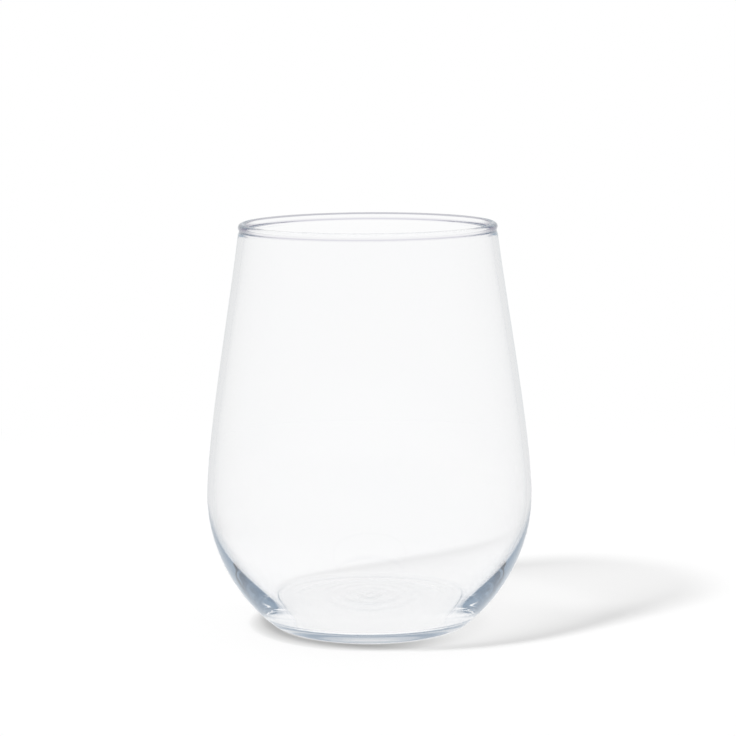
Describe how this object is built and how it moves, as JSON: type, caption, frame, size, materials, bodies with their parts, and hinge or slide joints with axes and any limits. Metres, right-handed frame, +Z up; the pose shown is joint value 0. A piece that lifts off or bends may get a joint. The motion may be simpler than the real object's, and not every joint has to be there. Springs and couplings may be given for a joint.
{
  "type": "stemless wine glass",
  "caption": "Clear stemless wine glass: an egg-shaped bowl with a rounded lip, a thin wall that thickens into a heavy base, and a shallow hollow under the foot.",
  "frame": {"origin": "on the glass's axis at the level of the table it stands on", "axes": "+Z up along the axis of the bowl; the glass is round, so +X and +Y are free"},
  "size_m": [0.089, 0.089, 0.1105],
  "materials": {
    "clear_glass": "polished and clear, with a faint cool tint where the glass is thick"
  },
  "bodies": {
    "root": {"foot": "clear_glass", "base": "clear_glass", "heel": "clear_glass", "side_wall": "clear_glass", "rim_bead": "clear_glass"}
  },
  "joints": []
}
